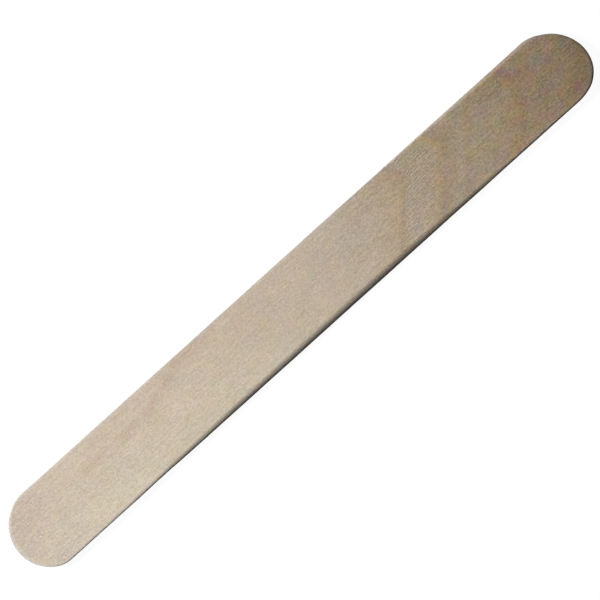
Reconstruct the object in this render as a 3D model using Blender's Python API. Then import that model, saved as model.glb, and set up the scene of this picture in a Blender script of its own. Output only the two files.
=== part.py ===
"""A wooden tongue depressor: one flat blade of birch veneer, lying on its underside.

The blade is a strip with straight, parallel sides. A round punch cuts each end, a little off the
strip's centre line: on the +Y side the arc falls short of the strip's edge, and on the -Y side it
runs past it. Tumbling then softens the corners where arc and side meet and takes the sharpness
off every edge. It wears the upper edge of the -Y side back to a wide, soft slope along the
middle, which dies out before the ends.

Metres, +X along the blade, +Z up, origin at the middle of the underside.
"""

import math

import bmesh
import bpy
from mathutils import Vector
from mathutils.geometry import interpolate_bezier

# The strip.
BLADE_LENGTH = 0.150
BLADE_WIDTH = 0.0163
BLADE_THICKNESS = 0.0016

# The punched ends: how far each arc falls short of the +Y side and runs past the -Y side.
RIGHT_END_SHORT = 0.00078
RIGHT_END_PAST = 0.00036
LEFT_END_SHORT = 0.00017
LEFT_END_PAST = 0.00040

# The softened corners: how far inside the side, or inside the arc's own widest point where that
# is less, a corner lets go of the arc, and how long a stretch of the side it takes up.
CORNER_DEPTH = 0.0015
RIGHT_PLAIN_CORNER_RUN = 0.0023
RIGHT_WORN_CORNER_RUN = 0.0035
LEFT_PLAIN_CORNER_RUN = 0.0023
LEFT_WORN_CORNER_RUN = 0.0022

# The tumbled edges: one small round all along the blade, above and below.
EDGE_ROUND = 0.00045

# The worn slope on the upper edge of the -Y side: its width and drop where it is widest, the
# power that turns its round section (1) towards a straight chamfer (2), where its middle lies
# along the blade, how far it reaches either way from there, and how much of that is fading out.
SLOPE_WIDTH = 0.00145
SLOPE_DROP = 0.00095
SLOPE_POWER = 1.25
SLOPE_CENTRE = 0.004
SLOPE_REACH = 0.055
SLOPE_FADE = 0.030

# How many flats stand for each curve.
ARC_STEPS = 28
CORNER_STEPS = 7
WORN_SIDE_STEPS = 44
PLAIN_SIDE_STEPS = 12
ROUND_STEPS = 6

BIRCH = (0.604, 0.515, 0.402, 1.0)
BIRCH_ROUGHNESS = 0.68

HALF_LENGTH = BLADE_LENGTH / 2
HALF_WIDTH = BLADE_WIDTH / 2


def clear_scene():
    """Start from nothing, whatever file this runs in."""
    for old in list(bpy.data.objects):
        bpy.data.objects.remove(old, do_unlink=True)


def eased(share):
    """Turn an even 0 to 1 into one with a level start and a level finish."""
    return share * share * (3 - 2 * share)


def soft_corner(arc_end, angle, side_y, run):
    """The curve from a straight side to the end of an arc, level with the one and the other."""
    along_arc = Vector((-math.sin(angle), math.cos(angle)))
    corner = arc_end + along_arc * (side_y - arc_end.y) / along_arc.y
    side_end = corner - Vector((run, 0))
    handles = side_end.lerp(corner, 2 / 3), arc_end.lerp(corner, 2 / 3)
    return interpolate_bezier(side_end, *handles, arc_end, CORNER_STEPS + 1)


def punched_end(short, past, worn_run, plain_run):
    """The +X end's outline, from the -Y side round the tip to the +Y side.

    The arc spans the strip's width, less what it falls short by and plus what it runs past by.
    """
    radius = (BLADE_WIDTH + past - short) / 2
    centre = Vector((HALF_LENGTH - radius, -(past + short) / 2))
    worn_angle = -math.asin((HALF_WIDTH - CORNER_DEPTH + centre.y) / radius)
    plain_angle = math.asin((radius - CORNER_DEPTH) / radius)
    arc = []
    for step in range(ARC_STEPS + 1):
        angle = worn_angle + (plain_angle - worn_angle) * step / ARC_STEPS
        arc.append(centre + radius * Vector((math.cos(angle), math.sin(angle))))
    worn_corner = soft_corner(arc[0], worn_angle, -HALF_WIDTH, worn_run)
    plain_corner = soft_corner(arc[-1], plain_angle, HALF_WIDTH, plain_run)
    return worn_corner[:-1] + arc + plain_corner[-2::-1]


def long_side(start, finish, steps):
    """The points along a straight side, without its two ends."""
    return [start.lerp(finish, step / steps) for step in range(1, steps)]


def blade_outline():
    """The blade from above, anticlockwise: worn side, right end, plain side, left end."""
    right = punched_end(RIGHT_END_SHORT, RIGHT_END_PAST, RIGHT_WORN_CORNER_RUN, RIGHT_PLAIN_CORNER_RUN)
    left = punched_end(LEFT_END_SHORT, LEFT_END_PAST, LEFT_WORN_CORNER_RUN, LEFT_PLAIN_CORNER_RUN)
    left = [Vector((-point.x, point.y)) for point in reversed(left)]
    worn_side = long_side(left[-1], right[0], WORN_SIDE_STEPS)
    plain_side = long_side(right[-1], left[0], PLAIN_SIDE_STEPS)
    return worn_side + right + plain_side + left


def into_wood(outline, number):
    """The direction from a point of the outline into the wood, square to the edge there."""
    along = outline[(number + 1) % len(outline)] - outline[number - 1]
    return Vector((-along.y, along.x)).normalized()


def wear(point, inward):
    """How much of the full slope the upper edge has here: none on the side that faces +Y."""
    inside_reach = (SLOPE_REACH - abs(point.x - SLOPE_CENTRE)) / SLOPE_FADE
    facing = min(1.0, max(0.0, inward.y))
    return eased(min(1.0, max(0.0, inside_reach))) * facing


def edge_section(point, inward):
    """The edge's section from the underside to the top, as (distance into the wood, height)."""
    share = wear(point, inward)
    width = EDGE_ROUND + (SLOPE_WIDTH - EDGE_ROUND) * share
    drop = EDGE_ROUND + (SLOPE_DROP - EDGE_ROUND) * share
    power = 1 + (SLOPE_POWER - 1) * share
    turns = [math.pi / 2 * step / ROUND_STEPS for step in range(ROUND_STEPS + 1)]
    below = [(1 - math.sin(turn), 1 - math.cos(turn)) for turn in turns]
    above = [(1 - abs(math.cos(turn)) ** power, 1 - math.sin(turn) ** power) for turn in turns]
    underside = [(EDGE_ROUND * across, EDGE_ROUND * up) for across, up in below]
    topside = [(width * across, BLADE_THICKNESS - drop * down) for across, down in above]
    return underside + topside


def blade_mesh():
    """The flat underside, drawn up from level to level of the edge's section, and closed."""
    outline = blade_outline()
    inwards = [into_wood(outline, number) for number in range(len(outline))]
    sections = [edge_section(point, inward) for point, inward in zip(outline, inwards)]

    def place(number, level):
        across, height = sections[number][level]
        return (outline[number] + inwards[number] * across).to_3d() + Vector((0, 0, height))

    mesh = bmesh.new()
    station = mesh.verts.layers.int.new("station")
    ring = [mesh.verts.new(place(number, 0)) for number in range(len(outline))]
    for number, vert in enumerate(ring):
        vert[station] = number
    rim = list(mesh.faces.new(ring).edges)
    for level in range(1, len(sections[0])):
        grown = bmesh.ops.extrude_edge_only(mesh, edges=rim)["geom"]
        for vert in (item for item in grown if isinstance(item, bmesh.types.BMVert)):
            vert.co = place(vert[station], level)
        rim = [item for item in grown if isinstance(item, bmesh.types.BMEdge)]
    bmesh.ops.edgeloop_fill(mesh, edges=rim)
    bmesh.ops.recalc_face_normals(mesh, faces=mesh.faces)

    data = bpy.data.meshes.new("blade")
    mesh.to_mesh(data)
    mesh.free()
    return data


def birch():
    """Sanded, unfinished birch: pale, dry and matt."""
    material = bpy.data.materials.new("sanded_birch")
    material.use_nodes = True
    shader = material.node_tree.nodes["Principled BSDF"]
    shader.inputs["Base Color"].default_value = BIRCH
    shader.inputs["Roughness"].default_value = BIRCH_ROUGHNESS
    shader.inputs["Metallic"].default_value = 0.0
    return material


def main():
    clear_scene()
    collection = bpy.data.collections.new("tongue_depressor")
    bpy.context.scene.collection.children.link(collection)
    blade = bpy.data.objects.new("blade", blade_mesh())
    blade.data.materials.append(birch())
    blade.data.shade_smooth()
    blade.data.set_sharp_from_angle(angle=math.radians(35))
    collection.objects.link(blade)


main()
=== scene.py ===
# %% [markdown]
# A wooden tongue depressor, dressed for its picture.
#
# The real one is a flat strip of birch veneer. It is peeled off a log, punched to shape, sanded
# and tumbled, and gets no varnish. The CAD model of it is loaded first and stays as it is: it
# gives the size and the place of everything here. The lesson then makes the same blade again
# with a fine mesh, gives it wood that you could almost feel, and lights it like a plain studio
# picture.

# %% Load the frame
import math

import bmesh
import bpy
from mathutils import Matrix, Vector, noise
from mathutils.geometry import interpolate_bezier
from mathutils.kdtree import KDTree


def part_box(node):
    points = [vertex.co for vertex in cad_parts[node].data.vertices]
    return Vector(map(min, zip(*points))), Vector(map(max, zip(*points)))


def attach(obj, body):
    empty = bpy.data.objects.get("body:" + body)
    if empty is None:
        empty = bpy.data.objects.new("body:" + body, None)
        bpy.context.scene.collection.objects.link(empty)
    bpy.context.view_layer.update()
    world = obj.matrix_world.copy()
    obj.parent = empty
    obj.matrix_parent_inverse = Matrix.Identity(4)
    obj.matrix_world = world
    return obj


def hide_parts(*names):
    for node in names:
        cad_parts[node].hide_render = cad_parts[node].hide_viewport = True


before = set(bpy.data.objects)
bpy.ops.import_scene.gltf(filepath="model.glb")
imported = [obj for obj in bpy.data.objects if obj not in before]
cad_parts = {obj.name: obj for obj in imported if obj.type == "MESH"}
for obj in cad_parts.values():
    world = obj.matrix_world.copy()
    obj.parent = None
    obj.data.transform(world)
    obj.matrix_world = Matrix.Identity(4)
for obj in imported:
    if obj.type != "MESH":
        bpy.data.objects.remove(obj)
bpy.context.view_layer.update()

# %% [markdown]
# Sizes. The strip's length, width and thickness are read from the CAD node's box, so that this
# script can't disagree with it. X runs along the blade, Y across it, Z up through its thickness,
# and the underside lies at Z = 0.

# %% The strip
MM = 0.001
lowest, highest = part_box("blade")
LENGTH, WIDTH, THICKNESS = highest - lowest
HALF_LENGTH = LENGTH / 2
HALF_WIDTH = WIDTH / 2
print(f"strip: {LENGTH / MM:.1f} x {WIDTH / MM:.1f} x {THICKNESS / MM:.2f} mm")

# %% [markdown]
# The outline. A round punch cuts each end, a little off the strip's centre line, so its arc
# falls short of the +Y side and runs past the -Y side. Where arc and side meet there would be a
# small corner, and tumbling has softened it. You could draw this as a curve object, or bevel
# the corners of a polygon. Here each corner is a Bezier curve from the side to the arc, because
# the four corners differ, and a Bezier curve takes a length of its own on either side. Its
# handles lie two thirds of the way to the corner, which makes it a plain parabola.

# %% The punched ends
RIGHT_END_SHORT = 0.78 * MM
RIGHT_END_PAST = 0.36 * MM
LEFT_END_SHORT = 0.17 * MM
LEFT_END_PAST = 0.40 * MM
CORNER_DEPTH = 1.5 * MM
RIGHT_PLAIN_CORNER_RUN = 2.3 * MM
RIGHT_WORN_CORNER_RUN = 3.5 * MM
LEFT_PLAIN_CORNER_RUN = 2.3 * MM
LEFT_WORN_CORNER_RUN = 2.2 * MM
HANDLE_SHARE = 2 / 3

ARC_STEPS = 104
CORNER_STEPS = 10
SIDE_STEPS = 320


def soft_corner(arc_end, angle, side_y, run):
    """The curve from a straight side to the end of an arc, level with the one and the other."""
    along_arc = Vector((-math.sin(angle), math.cos(angle)))
    corner = arc_end + along_arc * (side_y - arc_end.y) / along_arc.y
    side_end = corner - Vector((run, 0))
    handles = side_end.lerp(corner, HANDLE_SHARE), arc_end.lerp(corner, HANDLE_SHARE)
    return interpolate_bezier(side_end, *handles, arc_end, CORNER_STEPS + 1)


def punched_end(short, past, worn_run, plain_run):
    """The +X end from the -Y side round the tip: its first corner, its arc, its second corner."""
    radius = (WIDTH + past - short) / 2
    centre = Vector((HALF_LENGTH - radius, -(past + short) / 2))
    worn_angle = -math.asin((HALF_WIDTH - CORNER_DEPTH + centre.y) / radius)
    plain_angle = math.asin((radius - CORNER_DEPTH) / radius)
    arc = []
    for step in range(ARC_STEPS + 1):
        angle = worn_angle + (plain_angle - worn_angle) * step / ARC_STEPS
        arc.append(centre + radius * Vector((math.cos(angle), math.sin(angle))))
    worn_corner = soft_corner(arc[0], worn_angle, -HALF_WIDTH, worn_run)
    plain_corner = soft_corner(arc[-1], plain_angle, HALF_WIDTH, plain_run)
    return worn_corner[:-1] + arc + plain_corner[-2::-1]


right_end = punched_end(
    RIGHT_END_SHORT, RIGHT_END_PAST, RIGHT_WORN_CORNER_RUN, RIGHT_PLAIN_CORNER_RUN
)
left_end = punched_end(
    LEFT_END_SHORT, LEFT_END_PAST, LEFT_WORN_CORNER_RUN, LEFT_PLAIN_CORNER_RUN
)
left_end = [Vector((-point.x, point.y)) for point in reversed(left_end)]
print(f"each end: {len(right_end)} points")

# %% [markdown]
# The whole outline, anticlockwise from above: right end, plain side, left end, worn side. Both
# sides get the same number of points, and both arcs do too. That lets the two flat faces be
# filled with a grid later on, whose lines run along the wood like its fibres.


# %% The outline
def side(start, finish):
    """The points along a straight side, without its two ends."""
    return [start.lerp(finish, step / SIDE_STEPS) for step in range(1, SIDE_STEPS)]


outline = right_end + side(right_end[-1], left_end[0]) + left_end
outline += side(left_end[-1], right_end[0])
COUNT = len(outline)
END_COUNT = len(right_end)
LEFT_END_START = END_COUNT + SIDE_STEPS - 1
arc_starts = (CORNER_STEPS, LEFT_END_START + CORNER_STEPS)


def on_an_arc(station):
    """Whether the outline's stretch that starts at this station is part of a punched arc."""
    return any(start <= station < start + ARC_STEPS for start in arc_starts)


def into_wood(number):
    """The direction from a point of the outline into the wood, square to the edge there."""
    along = outline[(number + 1) % COUNT] - outline[number - 1]
    return Vector((-along.y, along.x)).normalized()


inwards = [into_wood(number) for number in range(COUNT)]
print(f"outline: {COUNT} points, {sum(map(on_an_arc, range(COUNT)))} stretches on the two arcs")

# %% [markdown]
# The edge. Tumbling leaves a small round along every edge, but not the same one everywhere. The
# upper edge of the -Y side is worn back along the middle to a slope about 1.5 mm wide, which
# dies out towards the ends. Opposite, on the +Y side, the middle has stayed crisp, and the dark
# half has a narrow flat chamfer. The dark end is worn to a wide round, and the pale end to one
# that is wider still, but so shallow that it only catches the light.
#
# A bevel gives one and the same round all along, so it can't make that. This edge is a section
# instead, a list of points from the underside up to the top face, and the section changes from
# station to station round the outline. Each size of the upper edge is a width into the wood, a
# drop from the top face, and a power that bends the section between the two: 1 is a round, and
# 2 is a straight chamfer. On the way round an end, the sizes of the side pass into those of the
# end. They are mixed by the squares of how far the edge faces each way, which add up to 1.

# %% The edge's section
EDGE_ROUND = 0.45 * MM
RIGHT_END_EDGE = (0.98 * MM, 0.29 * MM, 1.0)
LEFT_END_EDGE = (1.30 * MM, 0.14 * MM, 1.0)
WORN_SIDE_EDGE = (
    (-75 * MM, 0.24 * MM, 0.22 * MM, 1.00),
    (-58 * MM, 0.66 * MM, 0.31 * MM, 1.00),
    (-47 * MM, 0.76 * MM, 0.41 * MM, 1.05),
    (-36 * MM, 1.00 * MM, 0.64 * MM, 1.20),
    (-20 * MM, 1.26 * MM, 0.86 * MM, 1.25),
    (14 * MM, 1.50 * MM, 1.10 * MM, 1.25),
    (20 * MM, 1.46 * MM, 1.07 * MM, 1.25),
    (26 * MM, 1.29 * MM, 0.91 * MM, 1.25),
    (37 * MM, 1.00 * MM, 0.71 * MM, 1.25),
    (53 * MM, 0.56 * MM, 0.46 * MM, 1.10),
    (75 * MM, 0.45 * MM, 0.40 * MM, 1.00),
)
PLAIN_SIDE_EDGE = (
    (-75 * MM, 0.16 * MM, 0.07 * MM, 1.0),
    (-64 * MM, 0.16 * MM, 0.16 * MM, 1.0),
    (-28 * MM, 0.12 * MM, 0.12 * MM, 1.0),
    (26 * MM, 0.12 * MM, 0.12 * MM, 1.0),
    (34 * MM, 0.30 * MM, 0.25 * MM, 1.7),
    (55 * MM, 0.66 * MM, 0.54 * MM, 2.0),
    (69 * MM, 0.66 * MM, 0.54 * MM, 2.0),
    (75 * MM, 0.50 * MM, 0.30 * MM, 1.0),
)

LOWER_STEPS = 4
WALL_STEPS = 3
UPPER_STEPS = 12


def eased(share):
    """Turn an even 0 to 1 into one with a level start and a level finish."""
    share = min(1.0, max(0.0, share))
    return share * share * (3 - 2 * share)


def side_edge(rows, x):
    """The width, drop and power of one side's upper edge at a place along the blade."""
    for (start, *before), (finish, *after) in zip(rows, rows[1:]):
        if x <= finish:
            break
    share = eased((x - start) / (finish - start))
    return [one + (other - one) * share for one, other in zip(before, after)]


def upper_edge(point, inward):
    """The width, drop and power here: each kind counts by how much the edge faces its way."""
    kinds = (
        (max(0.0, inward.y), side_edge(WORN_SIDE_EDGE, point.x)),
        (max(0.0, -inward.y), side_edge(PLAIN_SIDE_EDGE, point.x)),
        (max(0.0, -inward.x), RIGHT_END_EDGE),
        (max(0.0, inward.x), LEFT_END_EDGE),
    )
    return [sum(facing ** 2 * sizes[number] for facing, sizes in kinds) for number in range(3)]


def edge_section(point, inward):
    """The edge from the underside to the top face, as (distance into the wood, height)."""
    width, drop, power = upper_edge(point, inward)
    section = []
    for step in range(LOWER_STEPS + 1):
        turn = math.pi / 2 * step / LOWER_STEPS
        section.append((EDGE_ROUND * (1 - math.sin(turn)), EDGE_ROUND * (1 - math.cos(turn))))
    wall_top = THICKNESS - drop
    for step in range(1, WALL_STEPS):
        section.append((0.0, EDGE_ROUND + (wall_top - EDGE_ROUND) * step / WALL_STEPS))
    for step in range(UPPER_STEPS + 1):
        turn = math.pi / 2 * step / UPPER_STEPS
        across = 1 - abs(math.cos(turn)) ** power
        down = 1 - math.sin(turn) ** power
        section.append((width * across, THICKNESS - drop * down))
    return section


sections = [edge_section(point, inward) for point, inward in zip(outline, inwards)]
LEVELS = len(sections[0])
widest = max(section[-1][0] for section in sections)
print(f"section: {LEVELS} levels, up to {widest / MM:.2f} mm wide")

# %% [markdown]
# Even a good punch leaves an outline that isn't quite straight, and the eye sees it at once
# when it is missing. So every station moves in or out by a few hundredths of a millimetre, by
# smooth noise that is read along the outline. Blender's noise depends on the place alone, so
# the blade comes out the same on every run. The punch has also left marks of its own: a tiny
# burr at one corner, the dark end a little flat on one side of its tip and full on the other,
# both long sides slightly hollow in places, and the pale tip slightly full. The list gives each
# mark's place, how far it reaches, and how far it stands out, or goes in where that is negative.
# Marks that lie as far apart as they reach add up to one even, longer mark.

# %% The outline's waviness
WAVE_LENGTH = 9 * MM
WAVE_DEPTH = 0.035 * MM
RIPPLE_LENGTH = 1.7 * MM
RIPPLE_DEPTH = 0.014 * MM
MARKS = (
    (69.1 * MM, 7.5 * MM, 0.55 * MM, 0.09 * MM),
    (74.6 * MM, 1.9 * MM, 3.4 * MM, -0.13 * MM),
    (73.2 * MM, 4.5 * MM, 3.2 * MM, -0.135 * MM),
    (73.9 * MM, -4.5 * MM, 3.6 * MM, 0.11 * MM),
    (69.8 * MM, -8.0 * MM, 2.5 * MM, -0.05 * MM),
    (32.0 * MM, 8.1 * MM, 16.0 * MM, -0.04 * MM),
    (48.0 * MM, 8.1 * MM, 16.0 * MM, -0.04 * MM),
    (64.0 * MM, 8.1 * MM, 16.0 * MM, -0.04 * MM),
    (-43.0 * MM, -8.1 * MM, 8.0 * MM, -0.085 * MM),
    (-55.0 * MM, -8.1 * MM, 16.0 * MM, -0.035 * MM),
    (-75.0 * MM, 0.0 * MM, 9.0 * MM, 0.045 * MM),
)


def waviness(point):
    """How far the cut edge strays into the wood here, or out of it where that is negative."""
    flat = point.to_3d()
    stray = WAVE_DEPTH * noise.noise(flat / WAVE_LENGTH)
    stray += RIPPLE_DEPTH * noise.noise(flat / RIPPLE_LENGTH)
    for x, y, reach, out in MARKS:
        stray -= out * eased(1 - (point - Vector((x, y))).length / reach)
    return stray


strays = [waviness(point) for point in outline]
print(f"the edge strays by up to {max(map(abs, strays)) / MM:.3f} mm")


def place(number, level):
    """Where a station's section has its point of that level."""
    across, height = sections[number][level]
    flat = outline[number] + inwards[number] * (across + strays[number])
    return flat.to_3d() + Vector((0, 0, height))


# %% [markdown]
# The blade's mesh. It starts as a ring of edges on the underside. Extruding that ring makes the
# next level, whose new points are put where their station's section says, and so on up to the
# top face. Each point remembers its station in a layer of its own, because the operator copies
# such layers to the points that it makes. Two grid fills close the top and the underside. They
# need two opposite runs of edges, and those are the two arcs.

# %% Draw up the edge and fill the faces
mesh = bmesh.new()
station = mesh.verts.layers.int.new("station")
first_ring = [mesh.verts.new(place(number, 0)) for number in range(COUNT)]
for number, vert in enumerate(first_ring):
    vert[station] = number
rim = [mesh.edges.new((first_ring[number - 1], first_ring[number])) for number in range(COUNT)]
rims = [rim]
for level in range(1, LEVELS):
    grown = bmesh.ops.extrude_edge_only(mesh, edges=rims[-1])["geom"]
    for vert in (item for item in grown if isinstance(item, bmesh.types.BMVert)):
        vert.co = place(vert[station], level)
    rims.append([item for item in grown if isinstance(item, bmesh.types.BMEdge)])


def first_station(edge):
    """The station where an edge of a rim starts."""
    one, other = sorted(vert[station] for vert in edge.verts)
    return other if other - one > 1 else one


for closing_rim in (rims[0], rims[-1]):
    caps = [edge for edge in closing_rim if on_an_arc(first_station(edge))]
    filled = bmesh.ops.grid_fill(mesh, edges=caps)["faces"]
    print(f"filled {len(filled)} faces between {len(caps)} edges")
bmesh.ops.recalc_face_normals(mesh, faces=mesh.faces)
open_edges = sum(not edge.is_manifold for edge in mesh.edges)
print(f"blade: {len(mesh.faces)} faces, {open_edges} open edges")

# %% [markdown]
# How far each point lies from the edge. The blade's rim is drawn paler and greyer than its faces,
# for most of a millimetre in, partly as the cut wood's own colour and partly as painted light. A
# material can't measure that by itself, so the distance goes into an attribute of the mesh, for the
# material to read later. A k-d tree is quick at finding the nearest of many points, and the
# outline's stretches are split so that it always has one close by.

# %% The distance to the edge
SPLITS = 6

tree = KDTree(COUNT * SPLITS)
for number, finish in enumerate(outline):
    for split in range(SPLITS):
        tree.insert(outline[number - 1].lerp(finish, split / SPLITS).to_3d(), number)
tree.balance()
to_edge = mesh.verts.layers.float.new("to_edge")
for vert in mesh.verts:
    _, _, distance = tree.find((vert.co.x, vert.co.y, 0))
    vert[to_edge] = distance / MM
print(f"distance to the edge: up to {max(vert[to_edge] for vert in mesh.verts):.2f} mm")

# %% [markdown]
# The relief. Sanding can't make veneer flat: the soft early wood goes down a little deeper than
# the hard late wood, and single fibres stand up. Both are hundredths of a millimetre at most,
# but low light finds them. The cut walls are rougher, so they get a noise of their own as well.
# A Displace modifier could do it. Moving each point along its own normal is as short, and it lets
# the noise be stretched, so that its hills are long along the wood and narrow across it.

# %% Raise the relief
FIBRE_GRAIN = Vector((4.0, 0.32, 0.32)) * MM
FIBRE_HEIGHT = 0.0022 * MM
HOLLOW_GRAIN = Vector((18.0, 5.0, 5.0)) * MM
HOLLOW_HEIGHT = 0.016 * MM
CUT_GRAIN = Vector((0.9, 0.5, 0.25)) * MM
CUT_HEIGHT = 0.010 * MM


def stretched(point, grain):
    """The place in a noise whose hills are as long, wide and high as the grain says."""
    return Vector((point.x / grain.x, point.y / grain.y, point.z / grain.z))


def relief(point, normal):
    """How far the surface stands out at a point: fibres and hollows, and rough cut walls."""
    height = FIBRE_HEIGHT * noise.noise(stretched(point, FIBRE_GRAIN))
    height += HOLLOW_HEIGHT * noise.noise(stretched(point, HOLLOW_GRAIN))
    wall = 1 - abs(normal.z)
    return height + wall * CUT_HEIGHT * noise.noise(stretched(point, CUT_GRAIN))


mesh.normal_update()
steps = [vert.normal * relief(vert.co, vert.normal) for vert in mesh.verts]
for vert, step in zip(mesh.verts, steps):
    vert.co += step
print(f"relief: up to {max(step.length for step in steps) / MM:.3f} mm")

# %% [markdown]
# The finished mesh becomes an object at the origin, unturned and unscaled, as the CAD node is.
# It rides on the body that carries that node, and stands in for the node.

# %% The blade as an object
for face in mesh.faces:
    face.smooth = True
blade_data = bpy.data.meshes.new("veneer_blade")
mesh.to_mesh(blade_data)
mesh.free()
blade = bpy.data.objects.new("veneer_blade", blade_data)
bpy.context.scene.collection.objects.link(blade)
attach(blade, "root")
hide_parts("blade")
blade_data.calc_loop_triangles()
print(f"{blade.name}: {len(blade_data.loop_triangles)} triangles")

# %% [markdown]
# The wood. It is birch, rotary cut: a knife peels the turning log like a roll of paper, so the
# flat face shows the growth rings as wide, soft, slanting bands and not as straight lines. It
# is sanded and has no finish, which leaves it pale, dry and matt, with no gloss to speak of.
# A photograph of wood could be wrapped round the blade, but a texture made of nodes has no
# edges, costs nothing in size and runs through the solid, so the cut walls match the faces.
#
# Two helpers serve all of it. One turns a colour as you would write it for a web page into the
# linear numbers that Blender reckons with, by the curve of the sRGB standard: a short straight
# part, and then a power. The other adds a node with its options and inputs. A Mix node has a set
# of sockets for each kind of value, all under the same names, so those for colours go by number.

# %% Helpers for materials
SRGB_FULL = 255
SRGB_STRAIGHT_UNTIL = 0.04045
SRGB_STRAIGHT_SLOPE = 12.92
SRGB_OFFSET = 0.055
SRGB_POWER = 2.4
MIX_A = 6
MIX_B = 7
MIX_COLOUR = 2


def linear(code):
    """An sRGB hex colour such as "#CBBEAB" as linear red, green, blue and alpha."""
    channels = []
    for start in (1, 3, 5):
        share = int(code[start:start + 2], 16) / SRGB_FULL
        if share <= SRGB_STRAIGHT_UNTIL:
            channels.append(share / SRGB_STRAIGHT_SLOPE)
        else:
            channels.append(((share + SRGB_OFFSET) / (1 + SRGB_OFFSET)) ** SRGB_POWER)
    return (*channels, 1.0)


def add(tree, kind, inputs=None, **settings):
    """A new node. Its inputs are given by name or number, each as a value or as a socket."""
    node = tree.nodes.new(kind)
    for name, value in settings.items():
        setattr(node, name, value)
    for socket, value in (inputs or {}).items():
        if isinstance(value, bpy.types.NodeSocket):
            tree.links.new(value, node.inputs[socket])
        else:
            node.inputs[socket].default_value = value
    return node


print("a mid grey in linear numbers:", round(linear("#808080")[0], 3))

# %% [markdown]
# Everything in the wood is placed by object coordinates, turned into millimetres once, so that
# each size below can be checked with a ruler.

# %% Millimetres in the wood
veneer = bpy.data.materials.new("sanded_birch_veneer")
veneer.use_nodes = True
wood = veneer.node_tree
shader = wood.nodes["Principled BSDF"]
blade_data.materials.append(veneer)

metres = add(wood, "ShaderNodeTexCoord").outputs["Object"]
millimetres = add(
    wood, "ShaderNodeMapping", {"Vector": metres, "Scale": (1 / MM, 1 / MM, 1 / MM)}
).outputs["Vector"]
axes = add(wood, "ShaderNodeSeparateXYZ", {"Vector": millimetres}).outputs
print("material:", veneer.name)

# %% [markdown]
# The tone. Towards the +X end the blade turns darker and warmer. Part of that is the wood's own
# tone, and part is painted shade: light falling off towards that end, drawn into the colour on top
# of the lamp's own fall-off. A colour ramp along the blade says so in a few stops. It holds the
# colour of the wood at each place, with that painted shade, and all the layers that follow tint it.

# %% Tone along the blade, with painted shade
# Darker towards +X: partly the wood's own tone, partly painted shade of light falling off.
TONES_WITH_PAINTED_SHADE = (
    (-75, "#CAB9A8"),
    (-58, "#D3C3AF"),
    (-15, "#D8C6B0"),
    (12, "#D1BDA9"),
    (32, "#C5B09A"),
    (50, "#BEA78C"),
    (62, "#B4997E"),
    (75, "#AB9783"),
)
along = add(wood, "ShaderNodeMapRange", {
    "Value": axes["X"], "From Min": TONES_WITH_PAINTED_SHADE[0][0], "From Max": TONES_WITH_PAINTED_SHADE[-1][0],
}).outputs["Result"]
tone_with_painted_shade = add(wood, "ShaderNodeValToRGB", {"Fac": along})


def set_stops(node, stops, start, end):
    """Give a ramp its stops, each one a place between start and end with a colour."""
    elements = node.color_ramp.elements
    elements.remove(elements[1])
    elements[0].position = (stops[0][0] - start) / (end - start)
    elements[0].color = stops[0][1]
    for spot, colour in stops[1:]:
        elements.new((spot - start) / (end - start)).color = colour


set_stops(tone_with_painted_shade, [(spot, linear(code)) for spot, code in TONES_WITH_PAINTED_SHADE], TONES_WITH_PAINTED_SHADE[0][0], TONES_WITH_PAINTED_SHADE[-1][0])
print("tones at", [spot for spot, _ in TONES_WITH_PAINTED_SHADE], "mm")

# %% [markdown]
# The growth rings. Where the knife cuts through the log's rings they show as nested curves, like
# hairpins: each has its crown on the +Y half and runs back from there on a slant, and they lie
# one behind the other towards the dark end. So a ring's number grows along the blade and to both
# sides of the crown. It is the ring field, one number in millimetres at each point of the wood,
# bent a little by slow noise. Below the face it leans, so the rings run on down the walls. Near
# the dark end the crown lies nearer the middle and the slant is less, so each of the two is given
# as it is before and after that change. A ramp reads the field and gives each ring its year: the
# wood turns slowly ochre, ends in a brown line, and starts again pale and cool.

# %% The ring field
CROWN = (4.7, 2.8)
SLANT = (0.95, 0.75)
CHANGE = (45.0, 57.0)
CROWN_ROUND = 1.5
LEAN = 10.0
BEND = 1.8
BEND_LENGTH = 8.0
BEND_DETAIL = 3.0
BEND_ROUGHNESS = 0.62
FIELD_START = 10.0
FIELD_END = 80.0

bend = add(wood, "ShaderNodeTexNoise", {
    "Vector": millimetres, "Scale": 1 / BEND_LENGTH, "Detail": BEND_DETAIL,
    "Roughness": BEND_ROUGHNESS,
}).outputs["Fac"]
crown, slant = [
    add(wood, "ShaderNodeMapRange", {
        "Value": axes["X"], "From Min": CHANGE[0], "From Max": CHANGE[1],
        "To Min": before, "To Max": after,
    }, interpolation_type="SMOOTHSTEP").outputs["Result"]
    for before, after in (CROWN, SLANT)
]
sideways = add(wood, "ShaderNodeMath", {0: axes["Y"], 1: crown}, operation="SUBTRACT").outputs[0]
spread = add(wood, "ShaderNodeMath", {
    0: sideways, 1: sideways, 2: CROWN_ROUND ** 2,
}, operation="MULTIPLY_ADD").outputs[0]
spread = add(wood, "ShaderNodeMath", {0: spread}, operation="SQRT").outputs[0]
behind = add(wood, "ShaderNodeMath", {0: spread, 1: CROWN_ROUND}, operation="SUBTRACT").outputs[0]
top = THICKNESS / MM
down = add(wood, "ShaderNodeMath", {0: axes["Z"], 1: top}, operation="SUBTRACT").outputs[0]
field = axes["X"]
for distance, share in ((behind, slant), (down, LEAN), (bend, BEND)):
    field = add(
        wood, "ShaderNodeMath", {0: distance, 1: share, 2: field}, operation="MULTIPLY_ADD"
    ).outputs[0]
year = add(wood, "ShaderNodeMapRange", {
    "Value": field, "From Min": FIELD_START + BEND / 2, "From Max": FIELD_END + BEND / 2,
}).outputs["Result"]
print(f"ring field: {FIELD_START:.0f} to {FIELD_END:.0f} mm")

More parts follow.
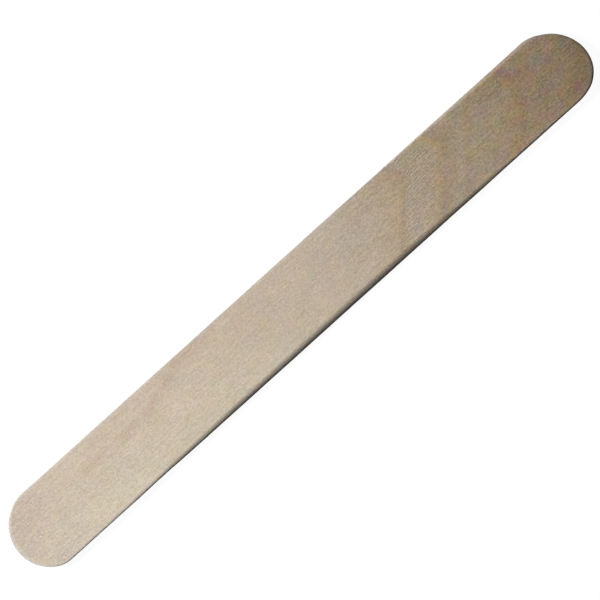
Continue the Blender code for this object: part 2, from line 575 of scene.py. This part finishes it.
# %% [markdown]
# The ramp's stops come from a short list of rings: where each one starts, where it is most
# ochre, where its brown line lies, where it ends, and how its ochre and its brown look. The
# ochre comes on slowly at first and then fast. The colours are tints, which are multiplied with
# the tone, so near white means hardly any.

# %% The rings
EARLY = linear("#FAFFFF")
SLOW_UNTIL = 0.8
SLOW_SHARE = 0.35
RINGS = (
    (18.5, 30.2, 30.9, 33.0, "#FDF9E7", "#EFECE6"),
    (36.4, 40.3, 41.5, 45.6, "#FDF8E3", "#EEEAE6"),
    (46.2, 47.5, 48.2, 49.4, "#FBFCF5", "#F7F5F3"),
    (54.4, 58.7, 60.3, 62.2, "#FDFAE8", "#FBF4F3"),
    (67.5, 71.5, 76.5, 80.0, "#FCFBEF", "#EEEADA"),
)

ring_stops = []
for ring_start, ochre_at, brown_at, ring_end, ochre, brown in RINGS:
    ochre = linear(ochre)
    slow_end = ring_start + (ochre_at - ring_start) * SLOW_UNTIL
    slow = [one + (other - one) * SLOW_SHARE for one, other in zip(EARLY, ochre)]
    ring_stops.append((ring_start, EARLY))
    ring_stops.append((slow_end, slow))
    ring_stops.append((ochre_at, ochre))
    ring_stops.append((brown_at, linear(brown)))
    ring_stops.append((ring_end, EARLY))
ring_tint = add(wood, "ShaderNodeValToRGB", {"Fac": year})
set_stops(ring_tint, ring_stops, FIELD_START, FIELD_END)
colour = add(wood, "ShaderNodeMix", {
    "Factor": 1.0, MIX_A: tone_with_painted_shade.outputs["Color"], MIX_B: ring_tint.outputs["Color"],
}, data_type="RGBA", blend_type="MULTIPLY").outputs[MIX_COLOUR]
print(f"rings: {len(RINGS)}, ramp stops: {len(ring_stops)}")

# %% [markdown]
# The shade and the streak. On the pale half the wood grows a little darker and pinker towards
# the +Y edge, and one thin streak of such wood runs along the fibres there and drifts out to the
# edge. A map range with smooth ends gives the line that the streak follows, which bends once. How
# far a point lies from that line fades the streak to both sides. More map ranges fade it at its
# ends, break it up by noise, and spread the shade.

# %% The shade and the streak
SHADE = linear("#F6F1F2")
SHADE_ACROSS = (-8.0, 8.0)
SHADE_ALONG = (20.0, -20.0)
STREAK = linear("#F8EFF0")
STREAK_START_Y = 2.8
STREAK_END_Y = 7.6
STREAK_BEND = (-39.5, -24.0)
STREAK_WANDER = 2.4
STREAK_HALF_WIDTH = 1.9
STREAK_FADE_IN = (-64.0, -50.0)
STREAK_FADE_OUT = (-12.0, -24.0)
STREAK_GRAIN = (3.5, 2.0, 2.0)
STREAK_GAPS = (0.30, 0.66)


def faded(ranges, share=1.0):
    """The share of a layer that shows, faded by where each value lies from nothing to full."""
    for value, nothing_at, full_at in ranges:
        share = add(wood, "ShaderNodeMapRange", {
            "Value": value, "From Min": nothing_at, "From Max": full_at, "To Max": share,
        }, interpolation_type="SMOOTHSTEP").outputs["Result"]
    return share


line = add(wood, "ShaderNodeMapRange", {
    "Value": axes["X"], "From Min": STREAK_BEND[0], "From Max": STREAK_BEND[1],
    "To Min": STREAK_START_Y - STREAK_WANDER / 2, "To Max": STREAK_END_Y - STREAK_WANDER / 2,
}, interpolation_type="SMOOTHSTEP").outputs["Result"]
line = add(wood, "ShaderNodeMath", {
    0: bend, 1: STREAK_WANDER, 2: line,
}, operation="MULTIPLY_ADD").outputs[0]
off_line = add(wood, "ShaderNodeMath", {0: axes["Y"], 1: line}, operation="SUBTRACT").outputs[0]
off_line = add(wood, "ShaderNodeMath", {0: off_line}, operation="ABSOLUTE").outputs[0]
stretch = add(wood, "ShaderNodeMapping", {
    "Vector": millimetres, "Scale": [1 / size for size in STREAK_GRAIN],
}).outputs["Vector"]
gaps = add(wood, "ShaderNodeTexNoise", {"Vector": stretch, "Scale": 1.0}).outputs["Fac"]
shade = faded(((axes["Y"], *SHADE_ACROSS), (axes["X"], *SHADE_ALONG)))
streak = faded((
    (off_line, STREAK_HALF_WIDTH, 0.0),
    (gaps, *STREAK_GAPS),
    (axes["X"], *STREAK_FADE_IN),
    (axes["X"], *STREAK_FADE_OUT),
))
for share, layer in ((shade, SHADE), (streak, STREAK)):
    colour = add(wood, "ShaderNodeMix", {
        "Factor": share, MIX_A: colour, MIX_B: layer,
    }, data_type="RGBA", blend_type="MULTIPLY").outputs[MIX_COLOUR]
print(f"streak: {2 * STREAK_HALF_WIDTH:.1f} mm wide")

# %% [markdown]
# Clouds, mottling, grain and fibres. No two square millimetres of the wood have quite the same
# colour. There are four sizes of it: clouds of light and dark, 12 by 5 mm; a mottling of hue, in
# pinkish, yellowish and greenish patches of 2 to 3 mm; a fine grain of pores, under half a
# millimetre; and the fibres, dashes 3.5 mm long and a quarter of a millimetre wide. Real pores
# and fibres are several times finer, which wouldn't show, so they are drawn in bundles.
#
# Each size is a noise that is stretched to its own grain. The list gives its detail too, then
# how much it changes red, green and blue, then where along the blade it starts to grow stronger,
# and how strong it gets at the dark end. Three of the four vary light and dark alone. The
# mottling reads the noise's colour, whose three channels vary each by itself. All four are
# summed, as shares by which the wood gets lighter or darker.

# %% Clouds, mottling, grain and fibres
PATTERNS = (
    ("cloud", "Fac", (12.0, 5.0, 3.0), 2.0, (0.16, 0.16, 0.16), 5.0, 1.5),
    ("mottle", "Color", (3.0, 2.4, 2.4), 0.5, (0.10, 0.085, 0.19), 14.0, 3.8),
    ("grain", "Fac", (0.46, 0.34, 0.34), 1.0, (0.53, 0.53, 0.53), 5.0, 2.1),
    ("fibre", "Fac", (3.5, 0.25, 0.25), 1.0, (0.23, 0.23, 0.23), 5.0, 1.95),
)
STRONGEST_AT = 65.0

noises = {}
tint = (1.0, 1.0, 1.0)
for name, output, grain, detail, shares, grows_from, stronger in PATTERNS:
    stretch = add(wood, "ShaderNodeMapping", {
        "Vector": millimetres, "Scale": [1 / size for size in grain],
    }).outputs["Vector"]
    noises[name] = add(wood, "ShaderNodeTexNoise", {
        "Vector": stretch, "Scale": 1.0, "Detail": detail,
    }).outputs[output]
    strength = add(wood, "ShaderNodeMapRange", {
        "Value": axes["X"], "From Min": grows_from, "From Max": STRONGEST_AT,
        "To Min": 1.0, "To Max": stronger,
    }).outputs["Result"]
    change = add(wood, "ShaderNodeVectorMath", {
        0: noises[name], 1: shares, 2: [-share / 2 for share in shares],
    }, operation="MULTIPLY_ADD").outputs[0]
    tint = add(wood, "ShaderNodeVectorMath", {
        0: change, 1: strength, 2: tint,
    }, operation="MULTIPLY_ADD").outputs[0]
colour = add(wood, "ShaderNodeVectorMath", {0: colour, 1: tint}, operation="MULTIPLY").outputs[0]
print("patterns:", list(noises))

# %% [markdown]
# The cut walls and the rim. Where the punch and the tumbler's rubbing went through the fibres,
# their open ends have lost the warm colour of the faces, so the edge all round is a little paler
# and much greyer. Part of that paleness and greyness is painted light: the bright rim along the
# lit +Y side, and the cool light in the shade of the worn -Y side. How deep a point lies below the
# nearer face tells the worn edge from the faces, and the mesh's attribute gives the narrow rim
# beside it. A node for hue and saturation takes the warmth away and leaves the rings and the
# grain as they are.

# %% The cut walls and the rim
WALL_SATURATION_AND_PAINTED_LIGHT = 0.70
WALL_VALUE_AND_PAINTED_LIGHT = 1.03
FACE_DEPTH = 0.015
WALL_DEPTH = 0.30
RIM_WIDTH = 1.0

middle = top / 2
off_middle = add(wood, "ShaderNodeMath", {0: axes["Z"], 1: middle}, operation="SUBTRACT").outputs[0]
off_middle = add(wood, "ShaderNodeMath", {0: off_middle}, operation="ABSOLUTE").outputs[0]
from_edge = add(wood, "ShaderNodeAttribute", attribute_name="to_edge").outputs["Fac"]
worn = faded(((off_middle, middle - FACE_DEPTH, middle - WALL_DEPTH),))
rim_share = faded(((from_edge, RIM_WIDTH, 0.0),))
bare_edge_and_painted_light = add(wood, "ShaderNodeMath", {0: worn, 1: rim_share}, operation="MAXIMUM").outputs[0]
# Partly painted light: this paler, greyer edge also stands for the bright +Y rim and the cool light
# in the -Y side's shade.
colour = add(wood, "ShaderNodeHueSaturation", {
    "Saturation": WALL_SATURATION_AND_PAINTED_LIGHT, "Value": WALL_VALUE_AND_PAINTED_LIGHT, "Fac": bare_edge_and_painted_light, "Color": colour,
}).outputs["Color"]
wood.links.new(colour, shader.inputs["Base Color"])
print(f"walls: from {FACE_DEPTH} to {WALL_DEPTH} mm deep, rim: {RIM_WIDTH} mm wide")

# %% [markdown]
# The raised grain. In the soft early wood after the first ring, and faintly in the last ones,
# the fibres have come up after sanding, as short wavy ridges half a millimetre apart. A wave
# texture makes ridges at an even distance, and its distortion lets them wander. At a scale of 1
# it makes 20 / tau ridges to the millimetre, so the scale follows from how far apart they are. A
# ramp on the ring field says in which rings they are, and a noise breaks them up into patches.
# Where the edge is worn they are rubbed off again.

# %% The raised grain
RIDGE_SPACING = 0.50
WAVE_TURNS = 20 / math.tau
RIDGE_WANDER = 6.0
RIDGE_DETAIL = 2.0
WANDER_LENGTH = 1.3
RIDGE_ZONES = (
    (30.5, 0.0),
    (32.5, 1.0),
    (37.5, 1.0),
    (40.5, 0.1),
    (62.0, 0.1),
    (65.0, 0.3),
    (80.0, 0.3),
)
PATCH_GRAIN = (2.2, 1.1, 1.1)
PATCH_PLACE = (1.0, 1.5, 0.0)
PATCH_DETAIL = 1.0
PATCH_EDGES = (0.42, 0.60)
RUBBED_OFF = 0.4

ridges = add(wood, "ShaderNodeTexWave", {
    "Vector": millimetres, "Scale": 1 / (RIDGE_SPACING * WAVE_TURNS), "Distortion": RIDGE_WANDER,
    "Detail": RIDGE_DETAIL, "Detail Scale": RIDGE_SPACING * WAVE_TURNS / WANDER_LENGTH,
}, bands_direction="Y").outputs["Fac"]
zone = add(wood, "ShaderNodeValToRGB", {"Fac": year})
zone_stops = [(spot, (share, share, share, 1.0)) for spot, share in RIDGE_ZONES]
set_stops(zone, zone_stops, FIELD_START, FIELD_END)
stretch = add(wood, "ShaderNodeMapping", {
    "Vector": millimetres, "Location": PATCH_PLACE, "Scale": [1 / size for size in PATCH_GRAIN],
}).outputs["Vector"]
patch = add(wood, "ShaderNodeTexNoise", {
    "Vector": stretch, "Scale": 1.0, "Detail": PATCH_DETAIL,
}).outputs["Fac"]
raised = faded(((patch, *PATCH_EDGES), (worn, RUBBED_OFF, 0.0)), zone.outputs["Color"])
raised = add(wood, "ShaderNodeMath", {0: ridges, 1: raised}, operation="MULTIPLY").outputs[0]
print(f"raised grain: ridges {RIDGE_SPACING} mm apart")

# %% [markdown]
# The surface. Dry, sanded wood scatters light widely, so its roughness is high, and it varies
# with the fibres. Its pores are full of air, and so it mirrors less than solid wood would. The
# same grain and fibres, and the raised grain, give a fine bump, on top of the relief that the
# mesh has for real.

# %% Roughness and bump
ROUGHNESS_RANGE = (0.78, 0.62)
BUMP_HEIGHT = 0.028 * MM
RIDGE_SHARE = 1.25
DRY_WOOD_IOR = 1.5
MIRRORING = 0.2

roughness = add(wood, "ShaderNodeMapRange", {
    "Value": noises["fibre"], "To Min": ROUGHNESS_RANGE[0], "To Max": ROUGHNESS_RANGE[1],
}).outputs["Result"]
wood.links.new(roughness, shader.inputs["Roughness"])
height = add(wood, "ShaderNodeMath", {
    0: noises["grain"], 1: noises["fibre"],
}, operation="ADD").outputs[0]
height = add(wood, "ShaderNodeMath", {
    0: raised, 1: RIDGE_SHARE, 2: height,
}, operation="MULTIPLY_ADD").outputs[0]
bump = add(wood, "ShaderNodeBump", {
    "Height": height, "Distance": BUMP_HEIGHT, "Strength": 1.0,
}).outputs["Normal"]
wood.links.new(bump, shader.inputs["Normal"])
shader.inputs["IOR"].default_value = DRY_WOOD_IOR
shader.inputs["Specular IOR Level"].default_value = MIRRORING
print(f"bump: {BUMP_HEIGHT / MM:.3f} mm")

# %% [markdown]
# The floor. A plain sheet of white paper does for the picture. To show as clean white it would
# need more light than the blade can take, so most of its whiteness glows for the camera alone,
# and a thin share of it is lit paper, which keeps the blade's soft shadow. The Light Path node
# tells camera rays from the rays that carry light to the blade. Glossy and transmission rays
# count with the camera's, so that a mirror image would show the same white.

# %% The floor
FLOOR_HALF = 2.0
FLOOR_GAP = 0.02 * MM
FLOOR_GLOW = 0.955
FLOOR_PAPER = linear("#585858")


def seen_directly(tree):
    """1 for rays that show a thing to the camera, straight or by gloss or glass, and else 0."""
    path = add(tree, "ShaderNodeLightPath").outputs
    seen = path["Is Camera Ray"]
    for ray in ("Is Glossy Ray", "Is Transmission Ray"):
        seen = add(tree, "ShaderNodeMath", {0: seen, 1: path[ray]}, operation="MAXIMUM").outputs[0]
    return seen


floor_mesh = bmesh.new()
bmesh.ops.create_grid(floor_mesh, x_segments=1, y_segments=1, size=FLOOR_HALF)
bmesh.ops.translate(floor_mesh, verts=floor_mesh.verts, vec=(0, 0, -FLOOR_GAP))
floor_data = bpy.data.meshes.new("paper_floor")
floor_mesh.to_mesh(floor_data)
floor_mesh.free()
floor = bpy.data.objects.new("paper_floor", floor_data)
bpy.context.scene.collection.objects.link(floor)

paper = bpy.data.materials.new("white_paper")
paper.use_nodes = True
paper.node_tree.nodes.clear()
lit = add(paper.node_tree, "ShaderNodeBsdfDiffuse", {"Color": FLOOR_PAPER}).outputs[0]
glow = add(paper.node_tree, "ShaderNodeMath", {
    0: seen_directly(paper.node_tree), 1: FLOOR_GLOW,
}, operation="MULTIPLY").outputs[0]
glowing = add(paper.node_tree, "ShaderNodeEmission", {"Strength": glow}).outputs[0]
both = add(paper.node_tree, "ShaderNodeAddShader", {0: lit, 1: glowing}).outputs[0]
add(paper.node_tree, "ShaderNodeOutputMaterial", {"Surface": both})
floor_data.materials.append(paper)
print(f"floor: {2 * FLOOR_HALF:.0f} m wide, {FLOOR_GAP / MM:.2f} mm below the blade")

# %% [markdown]
# The view's directions. The camera looks straight down and is rolled, so that the blade rises
# from the lower left to the upper right. The picture's right and up are slanting directions for
# the blade. They are worked out once, and place both the lamp and the camera.

# %% The view's directions
VIEW_TURN = math.radians(-42.05)
picture_right = Vector((math.cos(VIEW_TURN), math.sin(VIEW_TURN), 0))
picture_up = Vector((-picture_right.y, picture_right.x, 0))
print("the picture's right in the blade's frame:", [round(part, 3) for part in picture_right])

# %% [markdown]
# The light. One soft lamp stands at the picture's left and shines down at a low slant, aimed
# at the near half of the blade and with its spread held in. So it lights that half evenly and
# the far end less, leaves the -Y side in the shade, and draws a bright rim along the +Y side.
# The world adds a weak, even light from everywhere.

# %% The lamp and the world
LAMP_DISTANCE = 0.42
LAMP_SLANT = math.radians(31)
LAMP_SIZE = 0.15
LAMP_SPREAD = math.radians(90)
LAMP_AIM = Vector((-30 * MM, 0, 0))
LAMP_POWER = 0.655
WORLD_LIGHT = 0.07

lamp_data = bpy.data.lights.new("soft_lamp", "AREA")
lamp_data.shape = "DISK"
lamp_data.size = LAMP_SIZE
lamp_data.energy = LAMP_POWER
lamp_data.spread = LAMP_SPREAD
lamp = bpy.data.objects.new("soft_lamp", lamp_data)
bpy.context.scene.collection.objects.link(lamp)
towards_lamp = -picture_right * math.cos(LAMP_SLANT) + Vector((0, 0, math.sin(LAMP_SLANT)))
lamp.location = towards_lamp * LAMP_DISTANCE
lamp.rotation_euler = (lamp.location - LAMP_AIM).to_track_quat("Z", "Y").to_euler()
lamp.visible_camera = False

world = bpy.data.worlds.new("studio")
bpy.context.scene.world = world
world.use_nodes = True
sky = world.node_tree
sky.nodes.clear()
brightness = add(sky, "ShaderNodeMapRange", {
    "Value": seen_directly(sky), "To Min": WORLD_LIGHT, "To Max": 1.0,
}).outputs["Result"]
background = add(sky, "ShaderNodeBackground", {"Strength": brightness}).outputs[0]
add(sky, "ShaderNodeOutputWorld", {"Surface": background})
print(f"lamp: {LAMP_POWER} W at {LAMP_DISTANCE / MM:.0f} mm")

# %% [markdown]
# The camera stands far away and has a long lens, which keeps the sides parallel. How far away
# follows from how many millimetres of the blade's upper face the picture takes in. The blade
# doesn't lie quite in the middle of the picture, so the camera is shifted by a pixel or two.

# %% The camera
PICTURE_PIXELS = 600
PIXELS_PER_MM = 5.056
BLADE_RIGHT_PIXELS = -0.22
BLADE_UP_PIXELS = 1.87
LENS = 200.0
SENSOR = 36.0

picture_width = PICTURE_PIXELS / PIXELS_PER_MM * MM
camera_data = bpy.data.cameras.new("camera")
camera_data.lens = LENS
camera_data.sensor_width = SENSOR
camera_height = THICKNESS + picture_width * LENS / SENSOR
camera = bpy.data.objects.new("camera", camera_data)
bpy.context.scene.collection.objects.link(camera)
blade_shift = picture_right * BLADE_RIGHT_PIXELS + picture_up * BLADE_UP_PIXELS
camera.location = -blade_shift / PIXELS_PER_MM * MM
camera.location.z = camera_height
camera.rotation_euler = (0, 0, VIEW_TURN)
bpy.context.scene.camera = camera
bpy.context.scene.view_settings.view_transform = "Standard"
print(f"camera: {camera_height / MM:.0f} mm above the floor")
